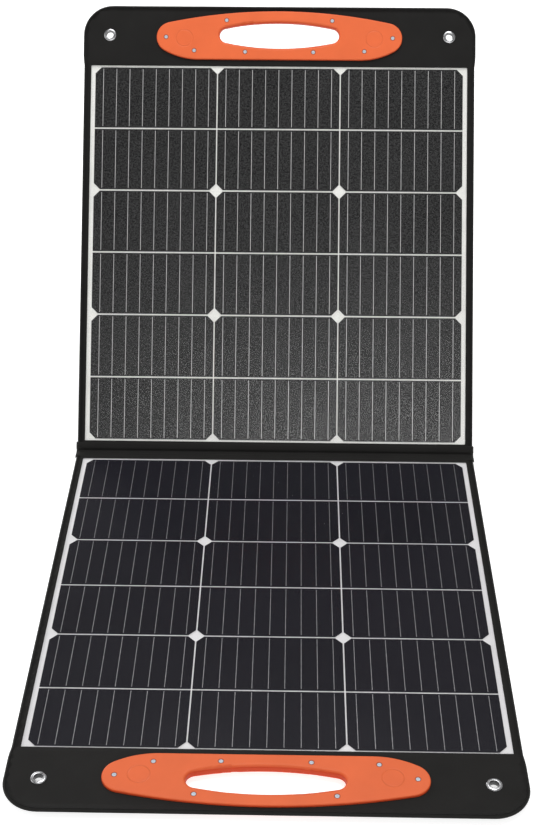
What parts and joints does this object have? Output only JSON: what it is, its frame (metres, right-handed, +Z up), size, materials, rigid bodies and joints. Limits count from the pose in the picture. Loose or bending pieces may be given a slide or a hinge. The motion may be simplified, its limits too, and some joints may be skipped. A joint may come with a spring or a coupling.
{
  "type": "folding solar panel suitcase",
  "caption": "Two square solar panels in black fabric covers, folding face to face on a fabric hinge, with an oval carry handle on each flap and kickstands behind.",
  "frame": {"origin": "centre of the whole object's footprint in the pictured pose, on the ground", "axes": "+X along the fold, +Y from the lying panel towards the leaning one, +Z up"},
  "size_m": [0.535, 0.9786, 0.5014],
  "materials": {
    "clear_film": "clear textured front film, satin",
    "clear_encapsulant": "clear encapsulant resin",
    "silicon": "dark blue-black coated silicon, satin",
    "silver_paste": "fine silver lines, satin",
    "tinned_copper": "tinned copper",
    "white_sheet": "white backsheet",
    "fibre_board": "glass-fibre board",
    "black_fabric": "black coated polyester, matte",
    "foam": "closed-cell foam filler",
    "orange_plastic": "orange moulded plastic, satin",
    "bright_steel": "bright zinc-plated steel",
    "magnet_steel": "nickel-plated magnet",
    "nickel": "nickel-plated brass",
    "webbing": "woven polyester webbing",
    "black_plastic": "black moulded plastic",
    "dark_metal": "black-coated zinc",
    "diode_epoxy": "epoxy body"
  },
  "bodies": {
    "lower_panel": {"lower_front_film": "clear_film", "lower_encapsulant": "clear_encapsulant", "lower_solar_cells": "silicon", "lower_cell_busbars": "silver_paste", "lower_bus_ribbons": "tinned_copper", "lower_backsheet": "white_sheet", "lower_stiffener_board": "fibre_board", "lower_front_cover": "black_fabric", "lower_back_cover": "black_fabric", "lower_edge_piping": "foam", "lower_flap_stiffener": "fibre_board", "lower_fold_strip": "black_fabric", "lower_link_ribbons": "tinned_copper", "lower_handle_front": "orange_plastic", "lower_handle_rear": "orange_plastic", "lower_handle_screws": "bright_steel", "lower_handle_magnets": "magnet_steel", "lower_grommet_eyelets": "nickel", "lower_grommet_washers": "nickel", "lower_kickstand_hinge_tape": "black_fabric", "lower_strap_patches": "webbing", "lower_kickstand_straps": "webbing"},
    "upper_panel": {"upper_front_film": "clear_film", "upper_encapsulant": "clear_encapsulant", "upper_solar_cells": "silicon", "upper_cell_busbars": "silver_paste", "upper_bus_ribbons": "tinned_copper", "upper_backsheet": "white_sheet", "upper_stiffener_board": "fibre_board", "upper_front_cover": "black_fabric", "upper_back_cover": "black_fabric", "upper_edge_piping": "foam", "upper_flap_stiffener": "fibre_board", "upper_fold_strip": "black_fabric", "upper_link_ribbons": "tinned_copper", "upper_handle_front": "orange_plastic", "upper_handle_rear": "orange_plastic", "upper_handle_screws": "bright_steel", "upper_handle_magnets": "magnet_steel", "upper_grommet_eyelets": "nickel", "upper_grommet_washers": "nickel", "upper_kickstand_hinge_tape": "black_fabric", "upper_strap_patches": "webbing", "upper_kickstand_straps": "webbing", "cable_pouch": "black_fabric", "pouch_zip_tapes": "black_fabric", "pouch_zip_coil": "black_plastic", "junction_box": "black_plastic", "junction_box_lid": "black_plastic", "bypass_diodes": "diode_epoxy", "terminal_clips": "tinned_copper", "cable_gland": "black_plastic"},
    "lower_kickstand": {"lower_kickstand_cover": "black_fabric", "lower_kickstand_board": "fibre_board", "lower_kickstand_strap_tabs": "webbing"},
    "upper_kickstand": {"upper_kickstand_cover": "black_fabric", "upper_kickstand_board": "fibre_board", "upper_kickstand_strap_tabs": "webbing"},
    "zip_slider": {"pouch_zip_slider": "dark_metal"},
    "zip_pull": {"pouch_zip_pull": "dark_metal"}
  },
  "joints": [
    {"name": "panel_fold", "type": "hinge", "parent": "lower_panel", "child": "upper_panel", "pos_m": [0, 0.11966, 0.01435], "axis": [1, 0, 0], "range_deg": [-53.4, 126.6]},
    {"name": "lower_kickstand_hinge", "type": "hinge", "parent": "lower_panel", "child": "lower_kickstand", "pos_m": [0, -0.22534, 0.0029], "axis": [1, 0, 0], "range_deg": [-61, 0], "deforming": ["lower_kickstand_straps"]},
    {"name": "upper_kickstand_hinge", "type": "hinge", "parent": "upper_panel", "child": "upper_kickstand", "pos_m": [0, 0.33455, 0.28449], "axis": [1, 0, 0], "range_deg": [-61, 0], "deforming": ["upper_kickstand_straps"]},
    {"name": "zip_slide", "type": "slide", "parent": "upper_panel", "child": "zip_slider", "axis": [1, 0, 0], "range_m": [0, 0.336]},
    {"name": "zip_pull_swing", "type": "hinge", "parent": "zip_slider", "child": "zip_pull", "pos_m": [-0.168, 0.43493, 0.39803], "axis": [1, 0, 0], "range_deg": [-25, 130]}
  ]
}
